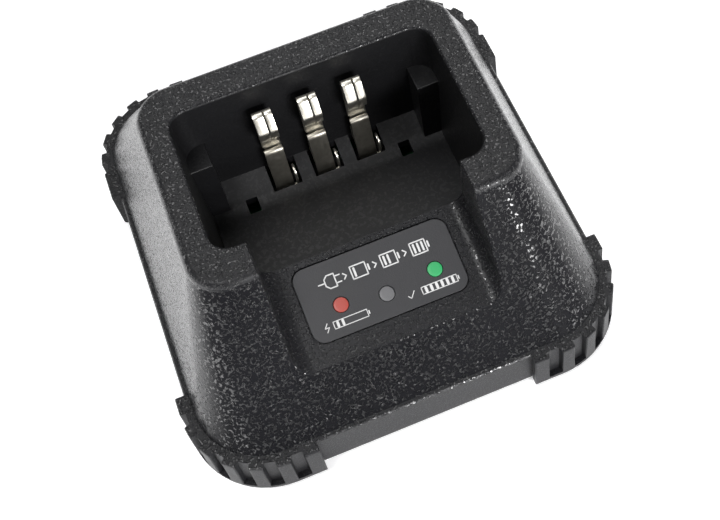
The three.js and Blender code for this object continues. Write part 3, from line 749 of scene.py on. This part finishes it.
def turned(profile, place, sides=48):
    """A round piece grown ring by ring from a disc, through (radius, height) points."""
    x, y = place
    radius, height = profile[0]
    bpy.ops.object.select_all(action="DESELECT")
    bpy.ops.mesh.primitive_circle_add(vertices=sides, radius=radius * MM, fill_type="NGON",
                                      location=(x * MM, y * MM, height * MM))
    piece = settle()
    edit(piece)
    bpy.ops.mesh.select_mode(type="FACE")
    for wider, higher in profile[1:]:
        rise = (0, 0, (higher - height) * MM)
        bpy.ops.mesh.extrude_region_move(TRANSFORM_OT_translate={"value": rise})
        bpy.ops.transform.resize(value=(wider / radius, wider / radius, 1),
                                 center_override=(x * MM, y * MM, higher * MM))
        radius, height = wider, higher
    bpy.ops.mesh.select_all(action="SELECT")
    bpy.ops.mesh.normals_make_consistent(inside=False)
    done()
    smooth(piece)
    return piece


def copied(piece, name, shift):
    """A copy with its own mesh, moved by a shift in millimetres."""
    only(piece)
    bpy.ops.object.duplicate()
    twin = bpy.context.object
    twin.name = name
    edit(twin)
    bpy.ops.transform.translate(value=Vector(shift) * MM)
    done()
    return twin


FOOT_PROFILE = ((FOOT_RADIUS, FOOT_TOP), (FOOT_RADIUS, 0.45), (FOOT_RADIUS - 0.12, 0.2),
                (FOOT_RADIUS - 0.4, 0.05), (FOOT_RADIUS - 0.8, 0), (3.2, 0), (2.9, 0.12), (1, 0.18))
foot = turned(FOOT_PROFILE, (0, 0))
foot.data.materials.append(moulded("foot_rubber", 1900, (0.008, 0.008, 0.008),
                                   (0.022, 0.021, 0.02), (0.9, 0.75), 0.03))
for corner, (x, y) in zip(CORNERS, FOOT_PLACES):
    pad = copied(foot, "sole_" + corner, (x, y, 0))
    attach(pad, "cradle")
    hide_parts("rubber_foot_" + corner)
bpy.data.objects.remove(foot)


# ---------------------------------------------------------------- screws
# Zinc-plated steel. Four long ones come up through the base plate into the housing's posts,
# and four short ones hold the board down on the plate. All have a cross recess.

def metal(name, dark, light, rough, scratch_scale=900, relief=0.004):
    """A metal with fine uneven polish: two tones, (smooth, dull) roughness."""
    material, nodes, links, shader = finish_named(name)
    where = nodes.new("ShaderNodeTexCoord").outputs["Object"]
    polish = nodes.new("ShaderNodeTexNoise")
    polish.inputs["Scale"].default_value = scratch_scale
    polish.inputs["Detail"].default_value = 4
    tone = nodes.new("ShaderNodeMix")
    tone.data_type = "RGBA"
    tone.inputs["A"].default_value = (*dark, 1)
    tone.inputs["B"].default_value = (*light, 1)
    dullness = nodes.new("ShaderNodeMapRange")
    dullness.inputs["To Min"].default_value = rough[0]
    dullness.inputs["To Max"].default_value = rough[1]
    bump = nodes.new("ShaderNodeBump")
    bump.inputs["Distance"].default_value = relief * MM
    links.new(where, polish.inputs["Vector"])
    links.new(polish.outputs["Fac"], tone.inputs["Factor"])
    links.new(polish.outputs["Fac"], dullness.inputs["Value"])
    links.new(polish.outputs["Fac"], bump.inputs["Height"])
    links.new(tone.outputs["Result"], shader.inputs["Base Color"])
    links.new(dullness.outputs["Result"], shader.inputs["Roughness"])
    links.new(bump.outputs["Normal"], shader.inputs["Normal"])
    shader.inputs["Metallic"].default_value = 1
    return material


SCREW_PROFILE = ((1.2, 12.9), (1.2, 2.4), (2.8, 2.4), (2.8, 1.5), (2.55, 1.1), (2, 0.92), (1.2, 0.9))
CROSS_REACH = 1.5
CROSS_HALF = 0.3
CROSS_TOP = 1.7

screw = turned(SCREW_PROFILE, (0, 0), 32)
for reach_x, reach_y in ((CROSS_REACH, CROSS_HALF), (CROSS_HALF, CROSS_REACH)):
    slot = block((-reach_x, -reach_y, 0), (reach_x, reach_y, CROSS_TOP))
    combine(screw, slot, "DIFFERENCE")
zinc = metal("zinc_plate", (0.42, 0.43, 0.45), (0.6, 0.61, 0.62), (0.25, 0.42))
screw.data.materials.clear()
screw.data.materials.append(zinc)
for corner, (x, y) in zip(CORNERS, HOUSING_SCREWS):
    long_screw = copied(screw, "long_screw_" + corner, (x, y, 0))
    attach(long_screw, "cradle")
    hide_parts("housing_screw_" + corner)
bpy.data.objects.remove(screw)


def refinish(names, material):
    """Gives CAD pieces that keep their shape a better material."""
    for name in names:
        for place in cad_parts[name].material_slots:
            place.material = material


refinish(["board_screw_" + corner for corner in CORNERS], zinc)


# ---------------------------------------------------------------- label
# A matt dark grey polycarbonate sheet glued in a shallow recess of the shelf, with three holes
# for the lamps and thin white screen-printed pictograms for mains, charging and full.

LABEL_PLAN = (16.7, -8, 8, 2.6)
LABEL_BOTTOM = -0.3
LABEL_TOP = 0.05
LABEL_EDGE = 0.06
LABEL_HOLE = 1.7
INK = 0.03
THICK = 0.26
THIN = 0.17

label = stack([inset(LABEL_PLAN, 0, LABEL_BOTTOM), inset(LABEL_PLAN, 0, LABEL_TOP - LABEL_EDGE),
               inset(LABEL_PLAN, LABEL_EDGE, LABEL_TOP)], steps=10)
onto_shelf(label, LABEL_Y)
for x, y in WINDOW_PLACES.values():
    combine(label, window_bore(x, y, LABEL_HOLE), "DIFFERENCE")
label.name = "label_sheet"
smooth(label)
label.data.materials.append(moulded("label_polycarbonate", 3200, (0.016, 0.016, 0.018),
                                    (0.023, 0.023, 0.026), (0.5, 0.42), 0.012))
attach(label, "cradle")
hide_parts("label_overlay")

print_marks = []


def stroke(start, end, width):
    """A printed line between two points of the label, with rounded ends."""
    start, end = Vector(start), Vector(end)
    along = end - start
    bpy.ops.object.select_all(action="DESELECT")
    bpy.ops.mesh.primitive_plane_add(size=1, location=((start + end) / 2 * MM).to_3d(),
                                     rotation=(0, 0, math.atan2(along.y, along.x)))
    bpy.context.object.scale = ((along.length + width) * MM, width * MM, 1)
    mark = settle()
    edit(mark)
    bpy.ops.mesh.bevel(offset=0.48 * width * MM, segments=4, affect="VERTICES")
    done()
    print_marks.append(mark)


def trace(points, width):
    for start, end in zip(points, points[1:]):
        stroke(start, end, width)


def battery(x, y, length, height, bars, filled, width):
    """A battery lying on its side: outline, terminal and as many bars as are filled."""
    right, bottom, top = x + length, y - height / 2, y + height / 2
    trace([(x, bottom), (right, bottom), (right, top), (x, top), (x, bottom)], width)
    terminal = right + 2 * width
    stroke((terminal, y - height / 5), (terminal, y + height / 5), 1.4 * width)
    pitch = length / (bars + 0.6)
    for i in range(filled):
        middle = x + pitch * (i + 0.8)
        stroke((middle, bottom + 2 * width), (middle, top - 2 * width), pitch * 0.5)


def plug(x, y, width):
    """A plug seen from the side: two pins, a body and a short lead."""
    trace([(x + 1.5, y - 1.4), (x + 3, y - 1.4), (x + 3, y + 1.4), (x + 1.5, y + 1.4)], width)
    trace([(x + 1.5, y + 1.4), (x + 0.8, y + 0.7), (x + 0.8, y - 0.7), (x + 1.5, y - 1.4)], width)
    stroke((x + 3, y + 0.75), (x + 4.1, y + 0.75), width)
    stroke((x + 3, y - 0.75), (x + 4.1, y - 0.75), width)
    stroke((x - 0.6, y), (x + 0.8, y), width)


# The title row: a plug, then three batteries that fill up, each after an arrowhead.
plug(-11.4, 3.5, THICK)
for x, filled in ((-4.9, 1), (1.6, 2), (8.1, 3)):
    battery(x, 3.5, 3.2, 2.7, 3, filled, THICK)
    trace([(x - 1.7, 4.1), (x - 1.1, 3.5), (x - 1.7, 2.9)], THICK)
# Under the red window a bolt and a part-filled battery, under the green one a tick and a full one.
trace([(-13.2, -4.4), (-13.9, -5.3), (-13, -5.3), (-13.7, -6.2)], THIN)
battery(-12, -5.3, 7.2, 1.5, 6, 2, THIN)
trace([(4, -5.3), (4.5, -5.9), (5.5, -4.6)], THIN)
battery(7, -5.3, 7.6, 1.5, 6, 6, THIN)
ink = join(print_marks)
apply_modifier(ink, "SOLIDIFY", thickness=INK * MM, offset=1)
edit(ink)
bpy.ops.transform.translate(value=(0, 0, LABEL_TOP * MM))
done()
onto_shelf(ink, LABEL_Y)
ink.name = "label_print"
ink.data.materials.append(moulded("white_ink", 4000, (0.5, 0.5, 0.5), (0.6, 0.6, 0.6),
                                  (0.6, 0.5), 0.004))
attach(ink, "cradle")


# ---------------------------------------------------------------- lamp windows and lamps
# Three light pipes of tinted acrylic, their faces a hair proud of the label and frosted. Under
# them stand the round lamps of the board, in clear epoxy.

PIPE_PROFILE = ((1.55, -2.6), (1.55, 0.01), (1.51, 0.1), (1.4, 0.15), (0.9, 0.17))
WINDOW_LOOKS = {
    "red": ("red_window", (0.25, 0.038, 0.03), (0.37, 0.06, 0.042)),
    "centre": ("grey_window", (0.08, 0.08, 0.085), (0.13, 0.13, 0.135)),
    "green": ("green_window", (0.018, 0.22, 0.07), (0.03, 0.36, 0.12)),
}
for side, (x, y) in WINDOW_PLACES.items():
    pipe = turned(PIPE_PROFILE, (x, 0), 40)
    onto_shelf(pipe, y)
    pipe.name = "window_" + side
    window_slot, dark, light = WINDOW_LOOKS[side]
    tint = moulded("acrylic_" + side, 1400, dark, light, (0.45, 0.35), 0.006)
    pipe.data.materials.append(tint)
    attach(pipe, "cradle")
    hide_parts("led_window_" + side)
refinish(["status_lamp_" + side for side in WINDOW_PLACES],
         moulded("lamp_epoxy", 800, (0.6, 0.6, 0.58), (0.75, 0.75, 0.72), (0.2, 0.12), 0.002))


# ---------------------------------------------------------------- circuit board and its parts
# A glass-fibre board under green lacquer with tinned parts soldered on top: two chips, a flat
# transistor, two capacitors in aluminium cans, a wound inductor and small chip parts.

refinish(["circuit_board"], moulded("green_lacquer", 260, (0.008, 0.055, 0.02), (0.016, 0.1, 0.038),
                                    (0.3, 0.45), 0.015))
refinish(["charge_controller", "lamp_driver", "power_transistor", "rectifier_diode", "sense_resistor",
          "lamp_resistor"], moulded("black_epoxy", 2600, (0.012, 0.012, 0.013), (0.024, 0.024, 0.026),
                                    (0.6, 0.45), 0.02))
refinish(["input_capacitor", "output_capacitor"],
         metal("can_aluminium", (0.6, 0.61, 0.63), (0.74, 0.75, 0.76), (0.28, 0.4)))
refinish(["inductor"], moulded("ferrite", 1700, (0.03, 0.029, 0.028), (0.055, 0.053, 0.05),
                               (0.8, 0.65), 0.03))


# ---------------------------------------------------------------- power inlet
# A moulded nylon jack at the back of the board. Its round nose fills the hole in the housing's
# band, with a flared mouth and a plated centre pin.

JACK_LOW = (-4.6, 35, 2.9)
JACK_HIGH = (4.6, 45, 9.9)
NOSE_RADIUS = 3.6
NOSE_END = 49.6
BORE_RADIUS = 2.75
BORE_START = 37.5
PIN_START = 36
PIN_PROFILE = ((0.9, 0), (0.9, 12), (0.72, 12.45), (0.4, 12.7))

inlet = block(JACK_LOW, JACK_HIGH)
inlet.name = "inlet_jack"
combine(inlet, barrel((0, 44, INLET_HEIGHT), (0, NOSE_END, INLET_HEIGHT), NOSE_RADIUS, 64), "UNION")
combine(inlet, barrel((0, BORE_START, INLET_HEIGHT), (0, 60, INLET_HEIGHT), BORE_RADIUS, 64),
        "DIFFERENCE")


def nose_edge(start, end):
    """Edges of the jack's body and of its mouth."""
    return min(start.y, end.y) > NOSE_END - 0.1 or max(start.y, end.y) < JACK_HIGH[1] + 0.1


round_edges(inlet, nose_edge, 0.22)
smooth(inlet)
inlet.data.materials.append(moulded("black_nylon", 2200, (0.01, 0.01, 0.01), (0.018, 0.018, 0.018),
                                    (0.5, 0.38), 0.01))
pin = turned(PIN_PROFILE, (0, 0), 28)
edit(pin)
bpy.ops.transform.rotate(value=math.radians(90), orient_axis="X", center_override=(0, 0, 0))
bpy.ops.transform.translate(value=(0, PIN_START * MM, INLET_HEIGHT * MM))
done()
pin.name = "inlet_pin"
pin.data.materials.append(metal("pin_nickel", (0.6, 0.58, 0.53), (0.75, 0.73, 0.68), (0.2, 0.32)))
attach(inlet, "cradle")
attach(pin, "cradle")
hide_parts("power_inlet")


# ---------------------------------------------------------------- contacts
# Each contact is stamped from half-millimetre nickel-plated strip. A fixed leaf with two side
# wings and an ear stands in a nylon carrier. The sprung half rises behind it, turns over at
# the top and leans out as a tongue split in two, which the battery's pad pushes back.

STRIP = 0.5
TAIL_Y = 10.55
BRACKET_HALF = 2.1
WING_THICKNESS = 0.35
SPRING_Y = 12.9
CROOK = 38
CROOK_RADIUS = 1.1
SHOULDER = 26.6
SPRING_WIDTH = 3.4
TONGUE_WIDTH = 4.2

refinish(["contact_carrier"], moulded("carrier_nylon", 1500, (0.012, 0.012, 0.012), (0.02, 0.02, 0.02),
                                      (0.55, 0.45), 0.02))
nickel = metal("nickel_plate", (0.66, 0.63, 0.55), (0.86, 0.83, 0.75), (0.24, 0.38), 1300)
# The fixed leaf is the same nickel-plated strip as the rest; its darker colour is painted shade and
# painted reflection of the dark pocket, over a rougher finish.
shaded_dull_nickel = metal("shaded_dull_nickel_plate", (0.3, 0.28, 0.24), (0.42, 0.4, 0.35), (0.34, 0.5), 1300)


def chain(points, x):
    """A chain of edges through (y, z) points at one x, left in edit mode, all selected."""
    bpy.ops.object.select_all(action="DESELECT")
    bpy.ops.mesh.primitive_plane_add(size=MM, location=Vector((x, *points[0])) * MM)
    piece = settle()
    edit(piece)
    bpy.ops.mesh.select_mode(type="VERT")
    bpy.ops.mesh.select_all(action="SELECT")
    bpy.ops.mesh.merge(type="CENTER")
    for before, after in zip(points, points[1:]):
        step = Vector((0, after[0] - before[0], after[1] - before[1])) * MM
        bpy.ops.mesh.extrude_region_move(TRANSFORM_OT_translate={"value": step})
    bpy.ops.mesh.select_all(action="SELECT")
    return piece


def bent_strip(points, x, width):
    """A sheet without thickness, bent through (y, z) points."""
    piece = chain(points, x - width / 2)
    bpy.ops.mesh.extrude_region_move(TRANSFORM_OT_translate={"value": (width * MM, 0, 0)})
    done()
    return piece


def thicken(piece):
    """Gives a bent sheet the strip's thickness, half to each side."""
    apply_modifier(piece, "SOLIDIFY", thickness=STRIP * MM, offset=0)
    edit(piece)
    bpy.ops.mesh.normals_make_consistent(inside=False)
    done()


def cut_plate(points, x0, x1):
    """Flat sheet cut to an outline of (y, z) points, from x0 to x1."""
    piece = chain(points, x0)
    bpy.ops.mesh.edge_face_add()
    bpy.ops.mesh.extrude_region_move(TRANSFORM_OT_translate={"value": ((x1 - x0) * MM, 0, 0)})
    bpy.ops.mesh.select_all(action="SELECT")
    bpy.ops.mesh.normals_make_consistent(inside=False)
    done()
    return piece


def arc(centre, radius, first, last, steps):
    """(y, z) points along an arc, its angles in degrees from the +Y axis."""
    for i in range(steps + 1):
        angle = math.radians(first + (last - first) * i / steps)
        yield centre[0] + radius * math.cos(angle), centre[1] + radius * math.sin(angle)


def polish_up(piece, material, width):
    """Rounds every sharp edge of a metal part and gives it its plating."""
    apply_modifier(piece, "BEVEL", width=width * MM, segments=2, limit_method="ANGLE",
                   angle_limit=math.radians(50), use_clamp_overlap=True)
    smooth(piece)
    piece.data.materials.clear()
    piece.data.materials.append(material)


spring_line = [(SPRING_Y, 12.6), (SPRING_Y, SHOULDER - 0.5), (SPRING_Y, SHOULDER), (SPRING_Y, 30)]
spring_line += arc((SPRING_Y - CROOK_RADIUS, CROOK), CROOK_RADIUS, 0, 150, 14)
spring_line += [(9.3, 35.9), (9.18, 35.6), (9.12, 35.3), (9.13, 35), (9.2, 34.7), (9.6, 33.4),
                (10.2, 31.9)]
spring = bent_strip(spring_line, 0, SPRING_WIDTH)
for corner in spring.data.vertices:
    corner.select = corner.co.z > (SHOULDER - 0.1) * MM
bpy.ops.object.mode_set(mode="EDIT")
bpy.ops.transform.resize(value=(TONGUE_WIDTH / SPRING_WIDTH, 1, 1), center_override=(0, 0, 0))
done()
thicken(spring)
combine(spring, block((0.15, 5, 30), (0.5, SPRING_Y - 0.8, 60)), "DIFFERENCE")
polish_up(spring, nickel, 0.09)

leaf_line = [(TAIL_Y + y, z) for y, z in (
    (0, 7.9), (0, 15), (0.9, 24.9), (0.98, 25.3), (1.15, 25.55), (1.4, 25.68), (1.8, 25.7))]
leaf = bent_strip(leaf_line, 0, 2 * BRACKET_HALF)
thicken(leaf)
polish_up(leaf, shaded_dull_nickel, 0.09)
wing_line = [(TAIL_Y + y, z) for y, z in (
    (0.1, 17), (3.1, 18.2), (3.1, 21.5), (2.2, 22.4), (2.2, 23.6), (1.2, 24.4), (0.7, 24.2))]
left_wing = cut_plate(wing_line, -BRACKET_HALF, WING_THICKNESS - BRACKET_HALF)
right_wing = cut_plate(wing_line, BRACKET_HALF - WING_THICKNESS, BRACKET_HALF)
ear_line = []
for i in range(15):
    angle = math.pi * i / 14
    ear_line.append((11.05 + 1.7 * math.cos(angle), 16.6 + 1.9 * math.sin(angle)))
ear_line += [(9.65, 11.8), (12.25, 11.8)]
ear = cut_plate(ear_line, BRACKET_HALF + 0.6, BRACKET_HALF + 1.1)
bridge_bar = block((0, TAIL_Y - 0.25, 11.8), (BRACKET_HALF + 1.1, TAIL_Y + 0.25, 12.8))
for sheet_metal in (left_wing, right_wing, ear, bridge_bar):
    polish_up(sheet_metal, nickel, 0.07)
bracket = join([leaf, left_wing, right_wing, ear, bridge_bar])

for side, x in CONTACT_PLACES.items():
    fixed = copied(bracket, "fixed_leaf_" + side, (x, 0, 0))
    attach(fixed, "cradle")
    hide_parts("contact_bracket_" + side)
    tongue = copied(spring, "sprung_tongue_" + side, (x, 0, 0))
    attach(tongue, side + "_contact")
    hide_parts("contact_spring_" + side)
bpy.data.objects.remove(bracket)
bpy.data.objects.remove(spring)
